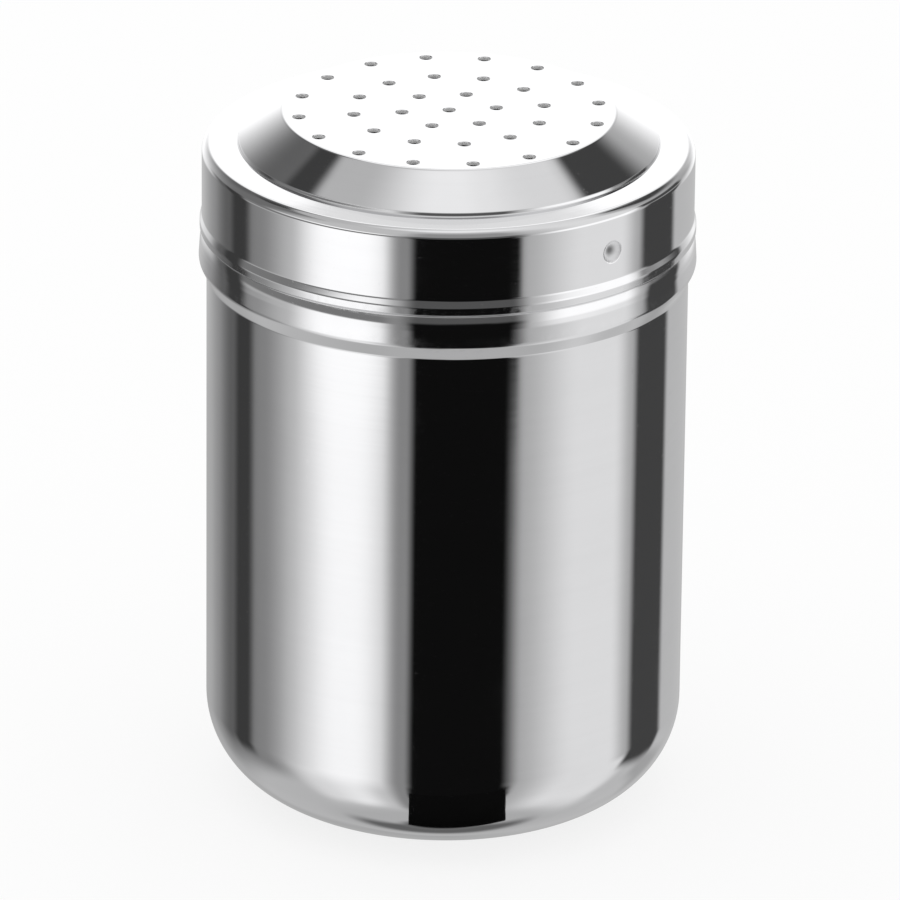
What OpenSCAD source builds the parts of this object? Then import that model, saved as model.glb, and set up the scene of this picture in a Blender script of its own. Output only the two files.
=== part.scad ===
// Polished steel shaker for ground spice, sugar or cocoa.
// A cup drawn from one sheet, and a perforated lid pressed from another, which slips over the
// cup's neck. Two pips pressed into the lid's skirt run in L-shaped grooves in the neck: the lid
// drops down the upright legs of the grooves and is locked by a part turn along the level legs.
// Millimetres. The origin is the centre of the base, on the surface that the cup stands on.
// +Z points up through the lid, and +X runs through the first hole of each ring.

/* [Sheet] */
// Thickness of the steel sheet
wall = 0.6; // [0.5:0.05:0.7]

/* [Cup] */
// Outer diameter of the straight body
body_d = 70; // [66:0.5:80]
// Height of the ledge that the lid's skirt stands on
seat_z = 87.3; // [60:0.1:120]
// Outer radius of the rounded bottom corner
corner_r = 14; // [8:0.5:18]
// Width of the flat ring that the cup stands on
foot_w = 3; // [2:0.5:5]
// Height of the shallow panel inside that ring
panel_rise = 0.8; // [0.4:0.1:1.2]

/* [Stop bead] */
// Width of the ledge at the top of the bead
ledge_w = 0.6; // [0.5:0.05:0.7]
// How far the bead's nose stands out from the body
bead_out = 1.15; // [0.9:0.05:1.6]
// How much less the top of its nearly upright band stands out
bead_lean = 0.15; // [0.1:0.05:0.2]
// Height from the bead's nose up to the ledge
bead_face_h = 4.8; // [4:0.1:6]
// Height of the nearly upright band above the nose
bead_band_h = 2.4; // [1:0.1:2.5]
// Height from the bead's foot up to its nose
bead_under_h = 2.2; // [1.5:0.1:4]
// Outer bend radius of the nose
nose_r = 1.4; // [0.8:0.1:2]

/* [Lid] */
// Clearance between the lid's skirt and the cup's neck, on the radius
skirt_gap = 0.1; // [0.05:0.05:0.2]
// Height of the skirt, from the ledge to the top of the rim
skirt_h = 12.7; // [12:0.1:18]
// Outer bend radius between the skirt and the rim
rim_r = 1.4; // [1:0.1:2]
// Width of the rim band around the raised middle
rim_w = 5.2; // [4:0.1:6]
// How much the rim band rises towards the middle
rim_rise = 0.3; // [0.1:0.1:0.6]
// Height of the upright step at the foot of the cone
step_h = 0.5; // [0.4:0.1:0.8]
// Height of the perforated disc above the rim
raise_h = 5; // [3:0.1:8]
// Diameter of the perforated disc
disc_d = 48.2; // [46:0.1:52]
// Outer bend radius at the edge of the disc
disc_edge_r = 1.2; // [0.8:0.1:2]
// How far the lip at the skirt's edge stands out
lip_out = 0.3; // [0.1:0.05:0.3]
// Height of that lip
lip_h = 2.2; // [1.5:0.1:3]
// Height over which it flares out
lip_flare_h = 1.1; // [0.5:0.1:1.2]
// Room between the cup's mouth and the underside of the rim
head_gap = 1; // [0.8:0.1:2]

/* [Perforation] */
// Diameter of each hole
hole_d = 1.8; // [1:0.1:2.4]
// Radius of the inner ring of holes
ring_1_r = 6.9; // [5:0.1:9]
// Number of holes in the inner ring
ring_1_n = 6; // [4:1:8]
// Radius of the middle ring of holes
ring_2_r = 13.9; // [12:0.1:16]
// Number of holes in the middle ring
ring_2_n = 12; // [8:1:16]
// Radius of the outer ring of holes
ring_3_r = 21.9; // [19:0.1:22]
// Number of holes in the outer ring
ring_3_n = 16; // [12:1:24]

/* [Bayonet] */
// Number of pips around the skirt
pip_n = 2; // [2:1:4]
// Direction of the first pip, in degrees from +X
pip_turn = -58; // [-180:1:180]
// Depth of the rim's top above the centre of a pip
pip_drop = 6.1; // [4.8:0.1:7]
// Outer diameter of a pip's dimple
pip_d = 3.2; // [2.4:0.1:4]
// How deep a pip is pressed in
pip_depth = 0.8; // [0.5:0.05:1]
// Turn from open to locked, in degrees
lock_turn = 20; // [12:1:30]
// Clearance between a pip and its groove
pip_gap = 0.3; // [0.2:0.05:0.5]
// How far a groove's sides lean outwards over its depth
groove_draft = 0.7; // [0.3:0.1:1]

/* [Hidden] */
$fn = 128;
steel = [0.80, 0.80, 0.81];
bend_steps = 8;      // straight pieces in each bend of a section
corner_steps = 24;   // straight pieces in the large bottom corner
tight_bend = 0.2;    // smallest outer bend radius of the sheet
sharp_bend = 0.08;   // radius left on the inside of a tight bend
panel_bend = 1;      // outer bend radius at the edge of the base panel
root_bend = 0.8;     // outer bend radius where the bead leaves the body
band_bend = 4;       // outer bend radius at the top of the bead's band
shoulder_bend = 0.5; // outer bend radius at the edge of the ledge
cut = 1;             // how far a cutting tool passes the faces that it cuts

body_r = body_d / 2;
neck_r = body_r;
neck_inside_r = neck_r - wall;
foot_inside_r = body_r - corner_r - foot_w;
nose_z = seat_z - bead_face_h;
band_top_z = nose_z + bead_band_h;
bead_foot_z = nose_z - bead_under_h;

skirt_inside_r = neck_r + skirt_gap;
skirt_r = skirt_inside_r + wall;
rim_z = seat_z + skirt_h;
disc_z = rim_z + raise_h;
disc_r = disc_d / 2;
cone_foot_r = skirt_r - rim_w;
step_run = step_h / 4;
mouth_z = rim_z - wall - head_gap;

pip_z = rim_z - pip_drop;
pip_ball_r = (pow(pip_d / 2, 2) + pow(pip_depth, 2)) / (2 * pip_depth);
pip_ball_x = skirt_r + pip_ball_r - pip_depth;
pip_tip_r = pip_ball_x - pip_ball_r - wall;
// Half the width of a pip where it passes through the neck's outer face
pip_half_w = sqrt(pow(pip_ball_r + wall, 2) - pow(pip_ball_x - neck_r, 2));
groove_floor_r = pip_tip_r - pip_gap;
groove_half_w = pip_half_w + pip_gap;

// ---- Sections of bent sheet -----------------------------------------------------------------
// A station is [radius, height, bend radius of the outer face, bend radius of the inner face].

function unit(v) = v / norm(v);
function left_of(v) = [-v.y, v.x];
function xy(p) = [p.x, p.y];

// Normal of the leg between stations i and i + 1, on its left side
function leg_normal(s, i) = left_of(unit(xy(s[i + 1]) - xy(s[i])));

// Station i moved to the sheet's other face, t to the left of the path
function other_face(s, i, t) =
    let (
        before = leg_normal(s, max(i - 1, 0)),
        after = leg_normal(s, min(i, len(s) - 2))
    )
    xy(s[i]) + t * (before + after) / (1 + before * after);

// Half the angle between the two legs that meet at point i
function half_angle(p, i) = acos(unit(p[i - 1] - p[i]) * unit(p[i + 1] - p[i])) / 2;

// Length of each leg that the bend at point i takes up
function reach(p, radii, i) =
    (i == 0 || i == len(p) - 1) ? 0 : radii[i] / tan(half_angle(p, i));

// Share of the bends at points i and i + 1 that fits on the leg between them
function leg_share(p, radii, i) =
    min(1, 0.96 * norm(p[i + 1] - p[i]) / (reach(p, radii, i) + reach(p, radii, i + 1)));

// Points of the bend of radius r at point i
function bend(p, i, r, steps) =
    let (
        to_a = unit(p[i - 1] - p[i]),
        to_c = unit(p[i + 1] - p[i]),
        half = half_angle(p, i),
        centre = p[i] + unit(to_a + to_c) * r / sin(half),
        start = p[i] + to_a * r / tan(half) - centre,
        side = sign(to_a.x * to_c.y - to_a.y * to_c.x),
        sweep = -side * (180 - 2 * half)
    )
    [for (k = [0 : steps])
        let (turn = sweep * k / steps)
        centre + [start.x * cos(turn) - start.y * sin(turn),
                  start.x * sin(turn) + start.y * cos(turn)]];

// One face of a section: the ends are left as they are, and each station between is bent to its
// radius, or less where its legs have no room for it
function face_line(p, radii, steps) =
    let (last = len(p) - 1)
    [for (i = [0 : last])
        each (i == 0 || i == last)
            ? [p[i]]
            : bend(p, i, radii[i] * min(leg_share(p, radii, i - 1), leg_share(p, radii, i)),
                   steps[i])];

function reversed(p) = [for (i = [len(p) - 1 : -1 : 0]) p[i]];

// Closed outline of a sheet whose outer face follows the stations. A positive t lays the sheet
// to the left of the path, and edge holds the points of the rounded free edge.
function sheet_outline(s, t, steps, edge = []) =
    let (
        outer = [for (p = s) xy(p)],
        inner = [for (i = [0 : len(s) - 1]) other_face(s, i, t)]
    )
    concat(
        face_line(outer, [for (p = s) p[2]], steps),
        edge,
        reversed(face_line(inner, [for (p = s) p[3]], steps))
    );

// ---- Cup ------------------------------------------------------------------------------------

module cup_section() {
    edge_r = wall / 2;
    straight_end_z = mouth_z - edge_r;
    stations = [
        [0, panel_rise, 0, 0],
        [foot_inside_r - panel_rise, panel_rise, panel_bend + wall, panel_bend],
        [foot_inside_r, 0, panel_bend, panel_bend + wall],
        [body_r, 0, corner_r, corner_r - wall],
        [body_r, bead_foot_z, root_bend, root_bend + wall],
        [body_r + bead_out, nose_z, nose_r, nose_r - wall],
        [body_r + bead_out - bead_lean, band_top_z, band_bend, band_bend - wall],
        [body_r + ledge_w, seat_z, shoulder_bend, sharp_bend],
        [neck_r, seat_z, sharp_bend, sharp_bend + wall],
        [neck_r, straight_end_z, 0, 0]
    ];
    steps = [0, bend_steps, bend_steps, corner_steps, bend_steps, bend_steps,
             bend_steps / 4, bend_steps / 2, bend_steps / 2, 0];
    mouth_edge = [for (k = [1 : bend_steps - 1])
        let (turn = 180 * k / bend_steps)
        [neck_r - edge_r + edge_r * cos(turn), straight_end_z + edge_r * sin(turn)]];
    polygon(sheet_outline(stations, wall, steps, mouth_edge));
}

// One L-shaped groove, seen from the outside, with its open pip on +X. The same form grown by
// the sheet's thickness is the ridge that the groove raises on the inside of the neck.
module bayonet_channel(grow) {
    floor_r = groove_floor_r - grow;
    outer_r = neck_r + cut;
    lean = groove_draft / (neck_r - groove_floor_r);
    outer_half_w = groove_half_w + grow + lean * cut;
    floor_half_w = outer_half_w - lean * (outer_r - floor_r);
    flare = [[floor_r, -floor_half_w], [outer_r, -outer_half_w],
             [outer_r, outer_half_w], [floor_r, floor_half_w]];

    // Upright leg, open at the mouth
    translate([0, 0, pip_z])
        linear_extrude(mouth_z + cut - pip_z) polygon(flare);
    // Level leg, which the pip enters as the lid is turned clockwise from above
    rotate([0, 0, -lock_turn])
        translate([0, 0, pip_z])
            rotate_extrude(angle = lock_turn) polygon(flare);
    // Rounded corner and rounded end
    for (turn = [0, -lock_turn])
        rotate([0, 0, turn])
            translate([floor_r, 0, pip_z])
                rotate([0, 90, 0])
                    cylinder(r1 = floor_half_w, r2 = outer_half_w, h = outer_r - floor_r);
}

module at_each_pip() {
    for (i = [0 : pip_n - 1])
        rotate([0, 0, pip_turn + i * 360 / pip_n]) children();
}

module cup() {
    ridge_top_z = mouth_z - wall / 2;
    color(steel)
        difference() {
            union() {
                rotate_extrude() cup_section();
                intersection() {
                    at_each_pip() bayonet_channel(wall);
                    translate([0, 0, seat_z])
                        cylinder(r = neck_r - wall / 2, h = ridge_top_z - seat_z);
                }
            }
            at_each_pip() bayonet_channel(0);
        }
}

// ---- Lid ------------------------------------------------------------------------------------

module lid_section() {
    stations = [
        [0, disc_z, 0, 0],
        [disc_r, disc_z, disc_edge_r, disc_edge_r - wall],
        [cone_foot_r - step_run, rim_z + rim_rise + step_h, tight_bend, sharp_bend],
        [cone_foot_r, rim_z + rim_rise, tight_bend, tight_bend + wall],
        [skirt_r, rim_z, rim_r, rim_r - wall],
        [skirt_r, seat_z, 0, 0]
    ];
    steps = [0, bend_steps, bend_steps / 2, bend_steps / 2, bend_steps, 0];
    polygon(sheet_outline(stations, -wall, steps));
    skirt_lip_section();
}

// Small lip that stiffens the skirt's free edge
module skirt_lip_section() {
    lip_r = skirt_r + lip_out;
    bevel = 0.1;
    polygon([
        [skirt_r - wall / 2, seat_z],
        [lip_r - bevel, seat_z],
        [lip_r, seat_z + bevel],
        [lip_r, seat_z + lip_h - lip_flare_h],
        [skirt_r, seat_z + lip_h],
        [skirt_r - wall / 2, seat_z + lip_h]
    ]);
}

// Inside of a pip: the sheet bulges into the groove
module pip_bulge() {
    intersection() {
        translate([pip_ball_x, 0, pip_z]) sphere(r = pip_ball_r + wall);
        translate([0, 0, seat_z]) cylinder(r = skirt_r - wall / 2, h = skirt_h - rim_r);
    }
}

// Outside of a pip: the dimple left by the punch
module pip_dimple() {
    translate([pip_ball_x, 0, pip_z]) sphere(r = pip_ball_r);
}

module hole() {
    translate([0, 0, disc_z - wall - cut]) cylinder(d = hole_d, h = wall + 2 * cut);
}

module ring_of_holes(radius, count) {
    for (i = [0 : count - 1])
        rotate([0, 0, i * 360 / count])
            translate([radius, 0, 0]) hole();
}

module perforation() {
    hole();
    ring_of_holes(ring_1_r, ring_1_n);
    ring_of_holes(ring_2_r, ring_2_n);
    ring_of_holes(ring_3_r, ring_3_n);
}

module lid() {
    color(steel)
        difference() {
            union() {
                rotate_extrude() lid_section();
                at_each_pip() pip_bulge();
            }
            at_each_pip() pip_dimple();
            perforation();
        }
}

cup();
lid();
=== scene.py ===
"""Polished steel shaker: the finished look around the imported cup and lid.

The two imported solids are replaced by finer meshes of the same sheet, with the same sizes as
part.scad. Sizes are in millimetres until mesh_object() turns them into metres.
"""

import math

import bpy
import numpy as np
from mathutils import Matrix, Vector
from mathutils.geometry import delaunay_2d_cdt


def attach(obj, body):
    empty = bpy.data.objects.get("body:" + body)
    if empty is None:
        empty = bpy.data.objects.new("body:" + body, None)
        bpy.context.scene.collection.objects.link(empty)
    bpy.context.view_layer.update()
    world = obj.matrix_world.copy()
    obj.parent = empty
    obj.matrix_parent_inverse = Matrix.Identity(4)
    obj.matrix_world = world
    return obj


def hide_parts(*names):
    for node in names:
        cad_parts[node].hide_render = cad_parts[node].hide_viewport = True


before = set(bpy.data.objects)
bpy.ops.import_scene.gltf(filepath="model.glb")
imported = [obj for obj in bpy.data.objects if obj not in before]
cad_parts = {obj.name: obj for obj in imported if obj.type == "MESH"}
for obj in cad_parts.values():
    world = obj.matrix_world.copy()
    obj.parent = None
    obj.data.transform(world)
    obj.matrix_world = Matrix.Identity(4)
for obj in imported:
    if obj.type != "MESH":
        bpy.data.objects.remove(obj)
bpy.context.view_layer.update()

MM = 0.001

# ---- Sizes, as in part.scad -------------------------------------------------------------------
WALL = 0.6
BODY_R = 35.0
SEAT_Z = 87.3
PANEL_RISE = 0.8
PANEL_R = 18.0
PANEL_BEND = 1.0
CORNER_R = 14.0
ROOT_BEND = 0.8
NOSE_R = 1.4
SHOULDER_BEND = 0.5
BEAD_OUT = 1.15
BEAD_LEAN = 0.15
LEDGE_W = 0.6
BAND_TOP_Z = 84.9
NOSE_Z = 82.5
BEAD_FOOT_Z = 80.3
MOUTH_Z = 98.4
SKIRT_R = 35.7
RIM_Z = 100.0
RIM_R = 1.4
RIM_RISE = 0.3
CONE_FOOT_R = 30.5
STEP_H = 0.5
STEP_RUN = STEP_H / 4
DISC_Z = 105.0
DISC_R = 24.1
DISC_EDGE_R = 1.2
LIP_OUT = 0.3
LIP_H = 2.2
LIP_FLARE_H = 1.1
HOLE_R = 0.9
HOLE_RINGS = ((0.0, 1), (6.9, 6), (13.9, 12), (21.9, 16))
PIP_Z = 93.9
PIP_TURN = -58.0
PIP_TURNS = (PIP_TURN, PIP_TURN + 180)
PIP_BALL_R = 2.0
PIP_BALL_X = 36.9
PIP_FLOOR_R = PIP_BALL_X - PIP_BALL_R
LOCK_TURN = 20.0
GROOVE_DEPTH = 1.0
GROOVE_HALF_W = 2.075
GROOVE_DRAFT = 0.7
TIGHT_BEND = 0.2
SHARP_BEND = 0.08

# ---- Fine shape of the sheet, which the solids leave out ---------------------------------------
PUNCH_EDGE_R = 0.14       # rounded edge where the punch enters a hole
BREAK_EDGE_R = 0.05       # edge where it leaves
LIP_BEND = 1.6            # bends of the lip
LIP_EDGE_R = 0.14         # outer edge of the lip's foot
BAND_BEND = 8.0           # bends of the bead's band and shoulder
SHOULDER_BULGE = 0.08     # how far the shoulder stands outside a straight line, halfway up
SHOULDER = complex(BODY_R + (BEAD_OUT - BEAD_LEAN + LEDGE_W) / 2 + SHOULDER_BULGE,
                   (BAND_TOP_Z + SEAT_Z) / 2)
PIP_RIM = 0.18            # softness of the rim of a pip
GROOVE_SOFT = 0.25        # softness of a groove's edges
GROOVE_BLEND = 0.5        # rounding where the two legs of a groove meet
NECK_FROM = SEAT_Z + 1    # the grooves are pressed into the neck above this height
SKIRT_FROM = SEAT_Z + LIP_H + 0.5                    # the pips are pressed in between these two
SKIRT_TO = RIM_Z - 1.5

# ---- Fineness of the meshes --------------------------------------------------------------------
COARSE_ROW = 7.0          # spacing of rows on a plain face, in mm
CLOSEST_ROW = 0.12        # rows nearer than this are left out
LEG_USE = 0.96            # share of a leg that the bends at its two ends may take up
BEND_STEPS = 12
CORNER_STEPS = 40
TURN_STEP = 1.5           # spacing of columns, in degrees
GROOVE_TURN_STEP = 0.5    # spacing of columns where the grooves are
GROOVE_MARGIN = 4.5       # how far these columns go past the legs of a groove, in degrees
GROOVE_ROWS = (PIP_Z - 2.9, PIP_Z + 2.9, 0.3)       # from, to and spacing of closer rows, in mm
PIP_TURN_STEP = 0.35      # spacing of columns where the pips are
PIP_MARGIN = 3.5
PIP_ROWS = (PIP_Z - 2.3, PIP_Z + 2.3, 0.22)
HOLE_SIDES = 32
PUNCH_STEPS = 5
BREAK_STEPS = 3
DISC_PITCH = 1.9          # spacing of the vertices between the holes
DISC_ROW = 0.866          # spacing of their rows, as a share of it
DISC_REACH = 14           # rows and columns to each side of the middle
RIM_CLEAR = 0.9           # least distance of these vertices from the disc's rim
HOLE_CLEAR = 0.75         # and from a hole
TINY = 1e-9

# Places of the materials in the lists of mesh_object()
FACE, BACK_FACE, BORE = 0, 1, 2


# ---- Sections ----------------------------------------------------------------------------------
# A path is a list of (point, bend radius, steps), with points as complex numbers r + z j.

def unit(v):
    return v / abs(v)


def other_face(points, thickness):
    """The path on the sheet's other face, thickness to the left of this one."""
    last = len(points) - 1
    moved = []
    for i, p in enumerate(points):
        a, b = max(i, 1), min(i, last - 1)
        before = 1j * unit(points[a] - points[a - 1])
        after = 1j * unit(points[b + 1] - points[b])
        dot = (before.conjugate() * after).real
        moved.append(p + thickness * (before + after) / (1 + dot))
    return moved


def leg_points(p, q, bands):
    """Points from p to q: evenly spaced, and closer in the height bands (low, high, spacing)."""
    length = abs(q - p)
    if length < TINY:
        return [p]
    shares = list(np.linspace(0, 1, max(1, math.ceil(length / COARSE_ROW)) + 1))
    rise = (q - p).imag
    for low, high, spacing in bands:
        if abs(rise) > 0.5 * length:
            for z in np.arange(low, high + spacing / 2, spacing):
                share = (z - p.imag) / rise
                if 0.002 < share < 0.998:
                    shares.append(share)
    shares.sort()
    kept = [0.0]
    for share in shares[1:]:
        if (share - kept[-1]) * length > CLOSEST_ROW:
            kept.append(share)
    if kept[-1] < 1:
        if (1 - kept[-1]) * length <= CLOSEST_ROW and len(kept) > 1:
            kept.pop()
        kept.append(1.0)
    return [p + (q - p) * share for share in kept]


def fitted_bends(path):
    """Half angle, bend radius and length of leg taken up at each corner: a leg too short for the
    bends at its two ends makes both of them smaller."""
    last = len(path) - 1
    corners = [c for c, _, _ in path]
    halves, reaches = [0.0] * (last + 1), [0.0] * (last + 1)
    for i in range(1, last):
        if path[i][1] > 0:
            to_a, to_c = unit(corners[i - 1] - corners[i]), unit(corners[i + 1] - corners[i])
            halves[i] = math.acos(max(-1, min(1, (to_a.conjugate() * to_c).real))) / 2
            reaches[i] = path[i][1] / math.tan(halves[i])
    shares = []
    for i in range(last):
        leg = abs(corners[i + 1] - corners[i])
        shares.append(min(1, LEG_USE * leg / max(reaches[i] + reaches[i + 1], TINY)))
    fitted = []
    for i in range(last + 1):
        share = min(shares[max(i - 1, 0)], shares[min(i, last - 1)])
        fitted.append((halves[i], path[i][1] * share, reaches[i] * share))
    return fitted


def trace(path, bands=()):
    """Points and unit tangents along a path whose corners are bent."""
    points, tangents = [], []
    here = path[0][0]
    fitted = fitted_bends(path)
    for i in range(1, len(path)):
        corner, radius, steps = path[i]
        half, radius, reach = fitted[i]
        along = unit(corner - (here if abs(corner - here) > TINY else path[i - 1][0]))
        if i == len(path) - 1 or radius == 0:
            arc_start = corner
            arc = []
        else:
            to_a, to_c = unit(path[i - 1][0] - corner), unit(path[i + 1][0] - corner)
            centre = corner + unit(to_a + to_c) * radius / math.sin(half)
            arc_start = corner + to_a * reach
            side = math.copysign(1, (to_a.conjugate() * to_c).imag)
            sweep = -side * (math.pi - 2 * half)
            spin = [complex(math.cos(sweep * k / steps), math.sin(sweep * k / steps))
                    for k in range(steps + 1)]
            arc = [(centre + (arc_start - centre) * s, along * s) for s in spin]
        leg = leg_points(here, arc_start, bands)
        if points:
            leg = leg[1:]
        for p in leg:
            points.append(p)
            tangents.append(along)
        if arc:
            for p, t in arc[1:]:
                points.append(p)
                tangents.append(t)
            here = arc[-1][0]
        else:
            here = corner
    return np.array(points), np.array(tangents)


def bent(points, radii, steps):
    """A path from corner points, their bend radii and the steps of each bend."""
    return list(zip(points, radii, steps))


# ---- Grids of revolution -----------------------------------------------------------------------

def columns(coarse, fine, spans):
    """Angles round the axis in radians. The coarse steps, the fine ones inside the spans and the
    spans are in degrees."""
    angles = set()
    for start, end in spans:
        count = round((end - start) / fine)
        angles.update(round((start + (end - start) * k / count) % 360, 6) for k in range(count + 1))
    for k in range(round(360 / coarse)):
        a = k * coarse
        if all((a - start) % 360 > end - start + coarse / 3 or (a - start) % 360 > 360 - coarse / 3
               for start, end in spans):
            angles.add(a)
    return np.radians(sorted(angles))


def revolve(points, tangents, turns, outside, inward):
    """Vertices and normals, each (rows, columns, 3), of a section turned about Z.

    outside is -1 where the surface faces right of the path and +1 where it faces left.
    inward is how far each vertex is pressed towards the axis."""
    r0, z = points.real[:, None], points.imag[:, None]
    r = r0 - inward
    along = np.concatenate([[0], np.cumsum(np.abs(np.diff(points)))])
    r_s = tangents.real[:, None] - np.gradient(inward, along, axis=0)
    z_s = tangents.imag[:, None] + 0 * r
    closed = np.concatenate([inward[:, -1:], inward, inward[:, :1]], axis=1)
    closed_turns = np.concatenate([[turns[-1] - 2 * math.pi], turns, [turns[0] + 2 * math.pi]])
    r_t = -np.gradient(closed, closed_turns, axis=1)[:, 1:-1]
    n_r = z_s
    n_t = -z_s * r_t / np.maximum(r, 1e-6)
    n_z = -r_s
    size = np.sqrt(n_r ** 2 + n_t ** 2 + n_z ** 2) * (-outside)
    n_r, n_t, n_z = n_r / size, n_t / size, n_z / size
    c, s = np.cos(turns)[None, :], np.sin(turns)[None, :]
    places = np.stack([r * c, r * s, z + 0 * r], axis=-1)
    normals = np.stack([n_r * c - n_t * s, n_r * s + n_t * c, n_z], axis=-1)
    return places, normals


class Shell:
    """Vertices, normals and faces of one piece, gathered part by part."""

    def __init__(self):
        self.places, self.normals, self.faces, self.materials = [], [], [], []

    def add(self, places, normals):
        """Adds vertices and returns the index of each."""
        first = len(self.places)
        self.places += np.reshape(places, (-1, 3)).tolist()
        self.normals += np.reshape(normals, (-1, 3)).tolist()
        return np.arange(first, len(self.places)).reshape(np.shape(places)[:-1])

    def face(self, corners, material=FACE):
        self.faces.append([int(c) for c in corners])
        self.materials.append(material)

    def strip(self, upper, lower, flip, material=FACE):
        """Quads between two closed rows of vertices."""
        for a, b, c, d in zip(upper, np.roll(upper, -1), np.roll(lower, -1), lower):
            self.face((d, c, b, a) if flip else (a, b, c, d), material)

    def grid(self, index, flip, inside_row, inside=BACK_FACE):
        """Quads between all rows, which from inside_row on get the other material."""
        for i in range(len(index) - 1):
            self.strip(index[i], index[i + 1], flip, inside if i >= inside_row else FACE)

    def fan(self, centre, row, flip, material=FACE):
        for a, b in zip(row, np.roll(row, -1)):
            self.face((centre, b, a) if flip else (centre, a, b), material)

    def mesh_object(self, name, materials):
        mesh = bpy.data.meshes.new(name)
        mesh.from_pydata((np.array(self.places) * MM).tolist(), [], self.faces)
        for material in materials:
            mesh.materials.append(material)
        mesh.polygons.foreach_set("material_index", self.materials)
        mesh.polygons.foreach_set("use_smooth", [True] * len(self.faces))
        mesh.validate()
        mesh.normals_split_custom_set_from_vertices(self.normals)
        mesh.update()
        piece = bpy.data.objects.new(name, mesh)
        bpy.context.scene.collection.objects.link(piece)
        return piece


def smooth_step(x):
    x = np.clip(x, 0, 1)
    return x * x * (3 - 2 * x)


def soft_max(x, softness):
    """max(0, x) with its corner rounded over +-softness."""
    return np.where(np.abs(x) < softness, (x + softness) ** 2 / (4 * softness), np.maximum(x, 0))


def nearest_turn(turns, at):
    """Angle in radians from direction at (degrees), between -pi and pi."""
    return (turns - math.radians(at) + math.pi) % (2 * math.pi) - math.pi


# ---- Materials ---------------------------------------------------------------------------------

def add(tree, kind, inputs=(), **settings):
    """Adds a node, with numbers and links for its inputs, and returns its first output."""
    made = tree.nodes.new(kind)
    for name, value in settings.items():
        setattr(made, name, value)
    for key, value in inputs.items() if isinstance(inputs, dict) else enumerate(inputs):
        if isinstance(value, bpy.types.NodeSocket):
            tree.links.new(value, made.inputs[key])
        elif value is not None:
            made.inputs[key].default_value = value
    return made.outputs[0] if len(made.outputs) else made


def calc(tree, operation, *inputs, clamp=False):
    return add(tree, "ShaderNodeMath", inputs, operation=operation, use_clamp=clamp)


def ramp(tree, value, start, end, low=0.0, high=1.0):
    """Smooth ramp from low to high as value goes from start to end."""
    inputs = {"Value": value, "From Min": start, "From Max": end, "To Min": low, "To Max": high}
    return add(tree, "ShaderNodeMapRange", inputs, interpolation_type="SMOOTHSTEP")


def noise(tree, vector, scale, detail=2.0, roughness=0.5):
    inputs = {"Vector": vector, "Scale": scale, "Detail": detail, "Roughness": roughness}
    return add(tree, "ShaderNodeTexNoise", inputs)


def stretched(tree, vector, sizes):
    return add(tree, "ShaderNodeVectorMath", (vector, sizes), operation="MULTIPLY")


def nearest(tree, mm, places):
    """Distance in mm to the nearest of the places."""
    least = None
    for place in places:
        apart = tree.nodes.new("ShaderNodeVectorMath")
        apart.operation = "DISTANCE"
        tree.links.new(mm, apart.inputs[0])
        apart.inputs[1].default_value = place
        off = apart.outputs["Value"]
        least = off if least is None else calc(tree, "MINIMUM", least, off)
    return least


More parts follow.
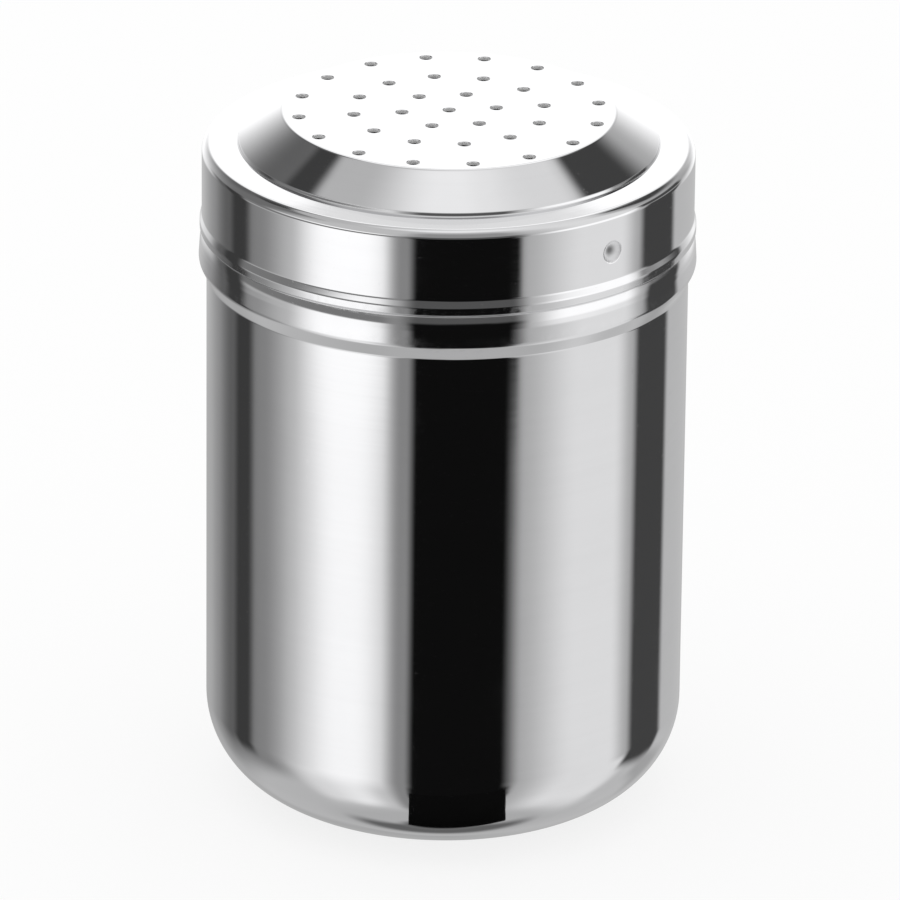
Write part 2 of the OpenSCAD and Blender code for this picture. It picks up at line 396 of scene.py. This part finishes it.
def steel(name, colour, lift, rough, line_rough, smudge_rough, wear_bands, path_sign, wave, dull,
          hollows=(), metal=1.0):
    """Polished sheet steel, with polishing lines round the axis and faint drawing streaks.

    lift is how much the tone varies from line to line. rough is the roughness of a clean spot,
    and line_rough and smudge_rough are what lines and smudges add. wear_bands are (low, high,
    amount) in mm of height. path_sign turns height and radius into one measure that runs along
    the section. wave is the height in mm of the sheet's waves, and dull darkens the smudges.
    hollows are the middles in mm of small dents that polishing leaves dull, with a painted dark
    reflection in their middle.
    metal is lower on a surface that is matt."""
    material = bpy.data.materials.new(name)
    material.use_nodes = True
    tree = material.node_tree
    shader = tree.nodes["Principled BSDF"]
    place = tree.nodes.new("ShaderNodeTexCoord").outputs["Object"]
    mm = add(tree, "ShaderNodeVectorMath", {0: place, "Scale": 1000.0}, operation="SCALE")
    flat = stretched(tree, mm, (1, 1, 0))
    length = tree.nodes.new("ShaderNodeVectorMath")
    length.operation = "LENGTH"
    tree.links.new(flat, length.inputs[0])
    radius = length.outputs["Value"]
    split = tree.nodes.new("ShaderNodeSeparateXYZ")
    tree.links.new(mm, split.inputs[0])
    x, y, z = split.outputs
    run = calc(tree, "MULTIPLY_ADD", radius, path_sign, z)

    def rings(across, along):
        """Coordinates for lines round the axis: across per mm of section, along per mm round."""
        return add(tree, "ShaderNodeCombineXYZ", (
            calc(tree, "MULTIPLY", x, along), calc(tree, "MULTIPLY", y, along),
            calc(tree, "MULTIPLY", run, across)))

    fine_lines = noise(tree, rings(5.0, 0.05), 1.0, detail=3.0, roughness=0.7)
    broad_lines = noise(tree, rings(0.9, 0.02), 1.0, detail=2.0)
    smudges = noise(tree, mm, 0.06, detail=5.0, roughness=0.6)
    specks = noise(tree, mm, 0.9, detail=2.0, roughness=0.6)
    streaks = noise(tree, stretched(tree, mm, (0.16, 0.16, 0.006)), 1.0, detail=2.0)
    dents = noise(tree, mm, 0.045, detail=1.0)
    scratch_a = noise(tree, stretched(tree, mm, (0.9, 0.03, 1.6)), 1.0, detail=4.0, roughness=0.75)
    scratch_b = noise(tree, stretched(tree, mm, (0.05, 1.4, 0.7)), 1.0, detail=4.0, roughness=0.75)
    scratches = calc(tree, "ADD", ramp(tree, scratch_a, 0.66, 0.72),
                     ramp(tree, scratch_b, 0.67, 0.73))

    wear = None
    for low, high, amount in wear_bands:
        half = (high - low) / 2
        off = calc(tree, "ABSOLUTE", calc(tree, "SUBTRACT", z, low + half))
        band = ramp(tree, off, half, half * 0.4, 0.0, amount)
        wear = band if wear is None else calc(tree, "ADD", wear, band)

    value = calc(tree, "MULTIPLY_ADD", ramp(tree, fine_lines, 0.3, 0.7), line_rough, rough)
    value = calc(tree, "MULTIPLY_ADD", ramp(tree, smudges, 0.45, 0.7), smudge_rough, value)
    value = calc(tree, "MULTIPLY_ADD", scratches, 0.08, value)
    if wear is not None:
        worn = calc(tree, "MULTIPLY", wear, ramp(tree, specks, 0.35, 0.65))
        value = calc(tree, "ADD", value, worn)
    shader.inputs["Metallic"].default_value = metal
    if hollows:
        off = nearest(tree, mm, hollows)
        value = calc(tree, "ADD", value, ramp(tree, off, 1.5, HOLLOW_R, HOLLOW_ROUGH, 0.0))
        bare = ramp(tree, off, 1.3, HOLLOW_R, HOLLOW_METAL, metal)
        tree.links.new(bare, shader.inputs["Metallic"])
    tree.links.new(value, shader.inputs["Roughness"])

    tone = calc(tree, "MULTIPLY_ADD", broad_lines, lift, 1 - lift)
    tone = calc(tree, "MULTIPLY_ADD", ramp(tree, smudges, 0.4, 0.75), -0.02 - dull, tone)
    # painted dark reflection: the base colour is darkened in the middle of each pip's dent
    if hollows:
        tone = calc(tree, "MULTIPLY", tone, ramp(tree, off, *PAINTED_DARK_SPAN, PAINTED_DARK_TONE, 1.0))
    tinted = add(tree, "ShaderNodeVectorMath", {0: colour, "Scale": tone}, operation="SCALE")
    tree.links.new(tinted, shader.inputs["Base Color"])

    height = calc(tree, "MULTIPLY", streaks, wave)
    height = calc(tree, "MULTIPLY_ADD", dents, wave * 2.2, height)
    height = calc(tree, "MULTIPLY_ADD", broad_lines, 0.0012, height)
    height = calc(tree, "MULTIPLY_ADD", scratches, -0.0015, height)
    bump = add(tree, "ShaderNodeBump", {"Height": height, "Distance": MM, "Strength": 1.0})
    tree.links.new(bump, shader.inputs["Normal"])
    return material


POLISHED = (0.80, 0.80, 0.81)
INSIDE = (0.72, 0.72, 0.73)
SHEARED = (0.94, 0.94, 0.94)
SHEARED_METAL = 0.25      # a sheared edge is matt
HOLLOW_R = 2.1            # a pip's hollow is dull as far as this from its middle, in mm
HOLLOW_ROUGH = 0.50       # added roughness in the hollow
HOLLOW_METAL = 0.20
PAINTED_DARK_TONE = 0.22        # tone of the painted dark reflection in its middle
PAINTED_DARK_SPAN = (0.15, 1.25)      # where the painted dark reflection starts to fade and where it ends, in mm
CUP_WEAR = [(81.2, 84.4, 0.08), (-0.5, 1.6, 0.15), (86.5, 87.8, 0.10)]      # bead, foot, ledge
LID_WEAR = [(87.1, 88.6, 0.10), (99.2, 100.2, 0.06)]                        # lip, rim


def around(radius, turn, z):
    return radius * math.cos(math.radians(turn)), radius * math.sin(math.radians(turn)), z


pip_hollows = [around(PIP_FLOOR_R, at, PIP_Z) for at in PIP_TURNS]

cup_polished = steel("cup_polished", POLISHED, lift=0.03, rough=0.035, line_rough=0.02,
                     smudge_rough=0.03, wear_bands=CUP_WEAR, path_sign=1.0, wave=0.008, dull=0.0)
cup_satin = steel("cup_satin_inside", INSIDE, lift=0.08, rough=0.16, line_rough=0.10,
                  smudge_rough=0.06, wear_bands=[], path_sign=1.0, wave=0.008, dull=0.03)
lid_polished = steel("lid_polished", POLISHED, lift=0.03, rough=0.035, line_rough=0.02,
                     smudge_rough=0.03, wear_bands=LID_WEAR, path_sign=-1.0, wave=0.006, dull=0.0,
                     hollows=pip_hollows)
lid_sheared = steel("lid_sheared_bores", SHEARED, lift=0.10, rough=0.55, line_rough=0.15,
                    smudge_rough=0.05, wear_bands=[], path_sign=-1.0, wave=0.006, dull=0.0,
                    metal=SHEARED_METAL)
lid_satin = steel("lid_satin_underside", INSIDE, lift=0.08, rough=0.18, line_rough=0.10,
                  smudge_rough=0.06, wear_bands=[], path_sign=-1.0, wave=0.006, dull=0.03)


# ---- Cup ---------------------------------------------------------------------------------------

def groove_depths(turns, heights, side):
    """How far the bayonet grooves press the neck inwards: side is 0 outside and 1 inside."""
    grown = side * (WALL - GROOVE_DRAFT * WALL)
    pressed = 0 * turns * heights
    for at in PIP_TURNS:
        u = BODY_R * nearest_turn(turns, at)
        w = heights - PIP_Z
        upright = np.hypot(u, np.minimum(w, 0))
        level_end = -BODY_R * math.radians(LOCK_TURN)
        level = np.hypot(u - np.clip(u, level_end, 0), w)
        blend = np.clip(0.5 + 0.5 * (level - upright) / GROOVE_BLEND, 0, 1)
        off = level + (upright - level) * blend - GROOVE_BLEND * blend * (1 - blend)
        edge = GROOVE_HALF_W + grown + GROOVE_SOFT
        foot = GROOVE_HALF_W + grown - GROOVE_DRAFT - GROOVE_SOFT
        pressed = np.maximum(pressed, GROOVE_DEPTH * smooth_step((edge - off) / (edge - foot)))
    return pressed


def build_cup():
    outer = [0 + PANEL_RISE * 1j, PANEL_R - PANEL_RISE + PANEL_RISE * 1j, PANEL_R + 0j, BODY_R + 0j,
             BODY_R + BEAD_FOOT_Z * 1j, BODY_R + BEAD_OUT + NOSE_Z * 1j,
             BODY_R + BEAD_OUT - BEAD_LEAN + BAND_TOP_Z * 1j, SHOULDER,
             BODY_R + LEDGE_W + SEAT_Z * 1j, BODY_R + SEAT_Z * 1j, BODY_R + MOUTH_Z * 1j]
    outer_radii = [0, PANEL_BEND + WALL, PANEL_BEND, CORNER_R, ROOT_BEND, NOSE_R, BAND_BEND,
                   BAND_BEND, SHOULDER_BEND, SHARP_BEND, WALL / 2]
    inner = other_face(outer, WALL)
    inner[-1] = BODY_R - WALL + MOUTH_Z * 1j
    inner_radii = [0, PANEL_BEND, PANEL_BEND + WALL, CORNER_R - WALL, ROOT_BEND + WALL,
                   NOSE_R - WALL, BAND_BEND - WALL, BAND_BEND - WALL, SHARP_BEND,
                   SHARP_BEND + WALL, WALL / 2]
    steps = [0, BEND_STEPS, BEND_STEPS, CORNER_STEPS, BEND_STEPS, BEND_STEPS, 5, 8, 10, 5, 8]
    path = bent(outer, outer_radii, steps) + bent(inner, inner_radii, steps)[::-1]
    points, tangents = trace(path, bands=[GROOVE_ROWS])
    turns = columns(TURN_STEP, GROOVE_TURN_STEP,
                    [(at - LOCK_TURN - GROOVE_MARGIN, at + GROOVE_MARGIN) for at in PIP_TURNS])

    points, tangents = points[1:-1], tangents[1:-1]   # the two ends on the axis are single points
    side = (1 - tangents.imag) / 2                    # 0 on the outer wall, 1 on the inner wall
    inward = groove_depths(turns[None, :], points.imag[:, None], side[:, None])
    inward = np.where(points.imag[:, None] > NECK_FROM, inward, 0)
    shell = Shell()
    index = shell.add(*revolve(points, tangents, turns, -1, inward))
    inside_row = int(np.argmax(points.imag))          # past the mouth
    shell.grid(index, False, inside_row)
    bottom = shell.add([[0, 0, PANEL_RISE]], [[0, 0, -1]])[0]
    top = shell.add([[0, 0, PANEL_RISE + WALL]], [[0, 0, 1]])[0]
    shell.fan(bottom, index[0], True)
    shell.fan(top, index[-1], False, BACK_FACE)
    return shell.mesh_object("cup_shell", [cup_polished, cup_satin])


# ---- Lid ---------------------------------------------------------------------------------------

def pip_depths(turns, heights, side):
    """How far the pips press the skirt inwards: side is 0 outside and 1 inside."""
    ball_r = PIP_BALL_R + side * WALL
    face_r = SKIRT_R - side * WALL
    pressed = 0 * turns * heights
    for at in PIP_TURNS:
        u = face_r * np.sin(nearest_turn(turns, at))
        front = np.cos(nearest_turn(turns, at)) > 0
        off = np.hypot(u, heights - PIP_Z)
        into = np.sqrt(np.maximum(ball_r ** 2 - off ** 2, 0)) - (PIP_BALL_X - face_r)
        pressed = np.maximum(pressed, np.where(front, soft_max(into, PIP_RIM), 0))
    return pressed


# A triangle whose middle is nearer a hole's centre than this share of its radius fills the hole
IN_HOLE = 0.991


def hole_centres():
    centres = []
    for radius, count in HOLE_RINGS:
        for k in range(count):
            turn = 2 * math.pi * k / count
            centres.append(complex(radius * math.cos(turn), radius * math.sin(turn)))
    return centres


def perforated_disc(shell, rim, rim_r, hole_rows, hole_r, z, flip, material):
    """Fills the flat disc inside the closed row rim, around the rows of vertices of the holes.

    hole_r is the radius of those rows."""
    up = -1 if flip else 1
    centres = hole_centres()
    index = [int(i) for i in rim] + [int(i) for row in hole_rows for i in row]
    edges, start = [], 0
    for count in [len(rim)] + [len(row) for row in hole_rows]:
        edges += [(start + k, start + (k + 1) % count) for k in range(count)]
        start += count
    spare = []
    for row in range(-DISC_REACH, DISC_REACH + 1):
        for col in range(-DISC_REACH, DISC_REACH + 1):
            p = complex((col + 0.5 * (row % 2)) * DISC_PITCH, row * DISC_PITCH * DISC_ROW)
            free = all(abs(p - c) > HOLE_R + HOLE_CLEAR for c in centres)
            if free and abs(p) < rim_r - RIM_CLEAR:
                spare.append(p)
    index += shell.add([[p.real, p.imag, z] for p in spare], [[0, 0, up]] * len(spare)).tolist()
    flat = [Vector(shell.places[i][:2]) for i in index]
    made = delaunay_2d_cdt(flat, edges, [], 1, 1e-7)
    verts, faces, origin = made[0], made[2], made[3]
    for face in faces:
        middle = sum((complex(*verts[i]) for i in face), 0j) / len(face)
        if any(abs(middle - c) < hole_r * IN_HOLE for c in centres):
            continue
        corners = [index[origin[i][0]] for i in face]
        shell.face(corners[::-1] if flip else corners, material)


def build_lid():
    outer = [0 + DISC_Z * 1j, DISC_R + DISC_Z * 1j,
             CONE_FOOT_R - STEP_RUN + (RIM_Z + RIM_RISE + STEP_H) * 1j,
             CONE_FOOT_R + (RIM_Z + RIM_RISE) * 1j, SKIRT_R + RIM_Z * 1j, SKIRT_R + SEAT_Z * 1j]
    inner = other_face(outer, -WALL)
    lip_r = SKIRT_R + LIP_OUT
    lip = [SKIRT_R + (SEAT_Z + LIP_H) * 1j, lip_r + (SEAT_Z + LIP_H - LIP_FLARE_H) * 1j,
           lip_r + SEAT_Z * 1j, SKIRT_R - WALL + SEAT_Z * 1j]
    outer_radii = [0, DISC_EDGE_R, TIGHT_BEND, TIGHT_BEND, RIM_R]
    inner_radii = [0, DISC_EDGE_R - WALL, SHARP_BEND, TIGHT_BEND + WALL, RIM_R - WALL]
    steps = [0, BEND_STEPS, 6, 6, BEND_STEPS]
    path = bent(outer[:-1], outer_radii, steps)
    path += bent(lip, [LIP_BEND, LIP_BEND, LIP_EDGE_R, SHARP_BEND], [8, 8, 6, 4])
    path += bent(inner[:-1], inner_radii, steps)[::-1]
    points, tangents = trace(path, bands=[PIP_ROWS])
    # The flat disc is made apart, so the grid starts and ends where its edge starts to bend
    flat = np.abs(tangents.imag) < TINY
    first = int(np.argmax(~flat)) - 1
    last = len(points) - int(np.argmax(~flat[::-1]))
    points, tangents = points[first:last + 1], tangents[first:last + 1]
    turns = columns(TURN_STEP, PIP_TURN_STEP,
                    [(at - PIP_MARGIN, at + PIP_MARGIN) for at in PIP_TURNS])

    side = (1 + tangents.imag) / 2                    # 0 on the outer face, 1 on the inner face
    inward = pip_depths(turns[None, :], points.imag[:, None], side[:, None])
    on_skirt = (points.imag > SKIRT_FROM) & (points.imag < SKIRT_TO)
    inward = np.where(on_skirt[:, None], inward, 0)
    shell = Shell()
    index = shell.add(*revolve(points, tangents, turns, 1, inward))
    inside_row = int(np.argmax(tangents.imag > 0.5))
    shell.grid(index, True, inside_row)

    bore, bore_tangents = trace([(HOLE_R + PUNCH_EDGE_R + DISC_Z * 1j, 0, 0),
                                 (HOLE_R + DISC_Z * 1j, PUNCH_EDGE_R, PUNCH_STEPS),
                                 (HOLE_R + (DISC_Z - WALL) * 1j, BREAK_EDGE_R, BREAK_STEPS),
                                 (HOLE_R + BREAK_EDGE_R + (DISC_Z - WALL) * 1j, 0, 0)])
    spokes = np.linspace(0, 2 * math.pi, HOLE_SIDES, endpoint=False)
    bore_places, bore_normals = revolve(bore, bore_tangents, spokes, -1,
                                        np.zeros((len(bore), len(spokes))))
    tops, bottoms = [], []
    for centre in hole_centres():
        rows = shell.add(bore_places + np.array([centre.real, centre.imag, 0]), bore_normals)
        shell.grid(rows, False, PUNCH_STEPS, BORE)
        tops.append(rows[0])
        bottoms.append(rows[-1])
    perforated_disc(shell, index[0], points[0].real, tops, HOLE_R + PUNCH_EDGE_R, DISC_Z, False,
                    FACE)
    perforated_disc(shell, index[-1], points[-1].real, bottoms, HOLE_R + BREAK_EDGE_R,
                    DISC_Z - WALL, True, BACK_FACE)
    return shell.mesh_object("lid_shell", [lid_polished, lid_satin, lid_sheared])


cup_shell = build_cup()
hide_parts("cup")
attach(cup_shell, "cup")

lid_shell = build_lid()
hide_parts("lid")
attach(lid_shell, "lid")

# ---- Camera ------------------------------------------------------------------------------------
CAMERA_TURN = math.radians(-9.2)      # round the object, from the view along +Y
CAMERA_RISE = math.radians(22.7)
CAMERA_ROLL = math.radians(0.63)
CAMERA_AWAY = 1.4
TARGET = Vector((0, 0, 0.050))
AIM_RIGHT = 0.00066                   # from TARGET to the point in the middle of the picture
AIM_UP = 0.00166
right = Vector((math.cos(CAMERA_TURN), math.sin(CAMERA_TURN), 0))
front = Vector((math.sin(CAMERA_TURN), -math.cos(CAMERA_TURN), 0))
back = front * math.cos(CAMERA_RISE) + Vector((0, 0, math.sin(CAMERA_RISE)))
up = back.cross(right)

camera_data = bpy.data.cameras.new("camera")
camera_data.lens = 382.2
camera_data.sensor_width = 36
camera_data.clip_start = 0.05
camera_data.clip_end = 60
camera = bpy.data.objects.new("camera", camera_data)
bpy.context.scene.collection.objects.link(camera)
axes = Matrix((right, up, back)).transposed() @ Matrix.Rotation(CAMERA_ROLL, 3, "Z")
aim = TARGET + right * AIM_RIGHT + up * AIM_UP
camera.matrix_world = Matrix.Translation(aim + back * CAMERA_AWAY) @ axes.to_4x4()
bpy.context.scene.camera = camera

# ---- Studio ------------------------------------------------------------------------------------
# The polished steel shows a soft studio of pale and dark panels, which stand still around the
# object. Each is (from, to, softness) of the direction round the object from the camera's side,
# (from, to, softness) of the elevation, all in degrees, and a level where 1 is white. A later
# panel covers the earlier ones.
ROOM_LEVEL = 0.55
PANELS = [
    ((145, 215, 40), (-17, 60, 9), 1.30),          # bright wall behind the object
    ((-164, -112, 14), (16.5, 120, 41), 0.13),     # shade that grows up the left side
    ((-180, 180, 0), (52, 200, 8), 0.55),          # ceiling
    ((50, 190, 40), (54, 82, 10), 0.82),           # its right side
    ((-180, 180, 0), (76, 200, 22), 1.03),         # lamp overhead
    ((-188, -158, 16), (-60, -22, 1.6), 0.455),    # wall behind on the left, low
    ((-128, -70, 34), (-5, 52, 8), 0.18),          # left side of the room
    ((-150, -82, 40), (-39, -14, 14), 0.26),       # left side of the room, low
    ((-80, -18, 34), (-64, 70, 24), 0.62),         # left softbox
    ((-77, -44, 22), (-56, -24, 10), 0.84),        # its lower half
    ((-58, -38, 20), (-58, -9, 12), 0.98),         # its bright middle
    ((-65, -32, 28), (-31, -9, 22), 1.20),         # brighter towards the frame
    ((-66, -30, 24), (-22.3, -9, 1.2), 1.26),      # brightest where the lid shows it
    ((-84, -26, 22), (5.5, 14, 3), 0.85),          # pale band over the frame
    ((-66, -30, 24), (6, 14, 3), 1.25),            # its bright middle
    ((-112, -20, 20), (-9, 4.5, 4), 0.22),         # frame of the left softbox
    ((-133, -107, 16), (-30, 2, 10), 0.13),        # shade beside the left post
    ((-121, -107, 7), (-30, 2, 8), 0.050),         # left post
    ((16, 64, 20), (-64, 12, 24), 0.46),           # edge of the right softbox
    ((50, 112, 36), (-62, 62, 24), 0.88),          # right softbox
    ((46, 98, 22), (-12, 6, 8), 1.25),             # its bright middle
    ((98, 148, 20), (2, 50, 18), 0.42),            # right side of the room
    ((112, 166, 12), (12, 33, 36), 0.45),          # shade that grows up the right side
    ((114, 160, 10), (29, 46, 14), 0.060),         # its darkest part
    ((120, 146, 10), (36, 53, 5), 0.060),          # dark card high on the right
    ((-144, -116, 10), (43, 52.5, 4), 0.055),      # dark card high on the left
    ((173, 187, 8), (26.4, 42, 1), 0.88),          # top of the bright wall
    ((109, 146, 14), (-54, -26, 8), 0.58),         # shade below the right post
    ((95, 112, 14), (-28, 0, 6), 0.46),            # shade beside the right post
    ((103, 131, 6), (-35, -5, 8), 0.062),          # right post
    ((97, 131, 6), (-2, 15, 6), 0.070),            # its head
    ((126, 156, 16), (-42, -32, 6), 0.42),         # its foot
    ((-26, 0, 10), (-64, 9, 14), 0.28),            # shade beside the flag
    ((-18, 34, 16), (9, 58, 24), 0.33),            # wall above the flag
    ((-18, 34, 10), (-12, 14, 8), 0.10),           # shade over the flag
    ((-180, 180, 0), (-200, -64, 12), 0.50),       # floor
    ((-16.4, 20, 5), (-50, -4, 6), 0.005),         # black flag in front, its left edge
    ((0, 33.4, 11), (-50, -4, 6), 0.005),          # its soft right edge
    ((0, 34.3, 4), (-22.3, -19, 1.2), 0.005),      # its right edge where the lid shows it
    ((-16.9, 33.7, 5), (-52, -31, 6), 0.005),      # its lower part, a little wider
    ((-17.4, 34.9, 4), (-52, -38, 6), 0.005),      # its lowest part, wider again
    ((110, 250, 40), (-82, -69, 8), 0.14),         # shade on the floor behind the object
    ((-180, 180, 0), (-200, -81.5, 6), 0.010),     # dark under the object
]


def inside_span(tree, value, span, wrap):
    """1 inside the span of value and 0 outside, with the span's soft edges."""
    start, end, soft = span
    middle, half = (start + end) / 2, (end - start) / 2
    off = calc(tree, "SUBTRACT", value, middle)
    if wrap:
        off = calc(tree, "WRAP", off, 180.0, -180.0)
    off = calc(tree, "ABSOLUTE", off)
    return ramp(tree, off, half - soft / 2, half + soft / 2, 1.0, 0.0)


def build_world():
    world = bpy.data.worlds.new("studio")
    bpy.context.scene.world = world
    world.use_nodes = True
    world.cycles.sampling_method = "NONE"
    tree = world.node_tree
    tree.nodes.clear()
    direction = tree.nodes.new("ShaderNodeTexCoord").outputs["Generated"]

    def part(axis):
        made = tree.nodes.new("ShaderNodeVectorMath")
        made.operation = "DOT_PRODUCT"
        tree.links.new(direction, made.inputs[0])
        made.inputs[1].default_value = axis
        return made.outputs["Value"]

    turn = calc(tree, "DEGREES", calc(tree, "ARCTAN2", part(right), part(front)))
    rise = calc(tree, "DEGREES", calc(tree, "ARCSINE", part((0, 0, 1))))
    level = ROOM_LEVEL
    for turn_span, rise_span, panel_level in PANELS:
        mask = inside_span(tree, rise, rise_span, False)
        if turn_span[1] - turn_span[0] < 360:
            mask = calc(tree, "MULTIPLY", mask, inside_span(tree, turn, turn_span, True))
        level = add(tree, "ShaderNodeMix", {0: mask, 2: level, 3: panel_level}, data_type="FLOAT")
    studio = add(tree, "ShaderNodeBackground", {"Color": level, "Strength": 1.0})
    plain = add(tree, "ShaderNodeBackground", {"Color": WHITE, "Strength": WORLD_LEVEL})
    seen = add(tree, "ShaderNodeBackground", {"Color": WHITE, "Strength": 1.0})
    rays = tree.nodes.new("ShaderNodeLightPath").outputs
    mixed = add(tree, "ShaderNodeMixShader", (rays["Is Glossy Ray"], plain, studio))
    mixed = add(tree, "ShaderNodeMixShader", (rays["Is Camera Ray"], mixed, seen))
    add(tree, "ShaderNodeOutputWorld", (mixed,))


# Corners of the flag's foot in mm: to the right of the axis and in front of it, from the camera
FLAG_FOOT = ((-5.6, 32.0), (-6.5, 37.0), (-7.7, 42.7), (-9.3, 49.5),
             (19.2, 49.5), (14.9, 40.4), (12.8, 35.9), (11.2, 31.5))
FLAG_Z = -0.00002
FLAG_COLOUR = 0.005
FLOOR_Z = -0.00003
FLOOR_R = 8.0
FLOOR_COLOUR = 0.95
FLOOR_GLOW = 0.80      # share of the floor's white that the camera sees without shade
WORLD_LEVEL = 0.90
LAMP_LEVEL = 0.15
LAMP_SIZE = 1.6
LAMP_PLACE = Vector((-0.25, 0.1, 1.5))
WHITE = (1, 1, 1, 1)


def grey(level):
    return level, level, level, 1


def flat_piece(name, corners, material_name, surface):
    """A flat piece with these corners in metres. surface(tree) makes its shader."""
    material = bpy.data.materials.new(material_name)
    material.use_nodes = True
    tree = material.node_tree
    tree.nodes.clear()
    add(tree, "ShaderNodeOutputMaterial", (surface(tree),))
    mesh = bpy.data.meshes.new(name)
    mesh.from_pydata(corners, [], [list(range(len(corners)))])
    mesh.materials.append(material)
    piece = bpy.data.objects.new(name, mesh)
    bpy.context.scene.collection.objects.link(piece)
    return piece


def floor_surface(tree):
    diffuse = add(tree, "ShaderNodeBsdfDiffuse", {"Color": grey(FLOOR_COLOUR)})
    white = add(tree, "ShaderNodeEmission", {"Color": WHITE, "Strength": 1.0})
    seen = tree.nodes.new("ShaderNodeLightPath").outputs["Is Camera Ray"]
    share = calc(tree, "MULTIPLY", seen, FLOOR_GLOW)
    return add(tree, "ShaderNodeMixShader", (share, diffuse, white))


def build_floor():
    corners = [(FLOOR_R * math.cos(math.radians(a)), FLOOR_R * math.sin(math.radians(a)), FLOOR_Z)
               for a in range(0, 360, 10)]
    floor = flat_piece("floor", corners, "floor_white", floor_surface)
    floor.visible_glossy = False


def flag_surface(tree):
    return add(tree, "ShaderNodeBsdfDiffuse", {"Color": grey(FLAG_COLOUR)})


def build_flag_foot():
    """The foot of the black flag, a card on the floor that only shows in the steel."""
    corners = [right * (x * MM) + front * (y * MM) + Vector((0, 0, FLAG_Z)) for x, y in FLAG_FOOT]
    card = flat_piece("flag_foot", corners, "flag_black", flag_surface)
    card.visible_camera = card.visible_diffuse = card.visible_shadow = False


def build_lamp():
    data = bpy.data.lights.new("softbox", "AREA")
    data.shape = "SQUARE"
    data.size = LAMP_SIZE
    data.energy = LAMP_LEVEL * math.pi ** 2 * LAMP_PLACE.length_squared
    lamp = bpy.data.objects.new("softbox", data)
    bpy.context.scene.collection.objects.link(lamp)
    lamp.location = LAMP_PLACE
    lamp.rotation_mode = "QUATERNION"
    lamp.rotation_quaternion = LAMP_PLACE.to_track_quat("Z", "Y")
    lamp.visible_glossy = False


build_world()
build_floor()
build_flag_foot()
build_lamp()
bpy.context.scene.view_settings.view_transform = "Standard"
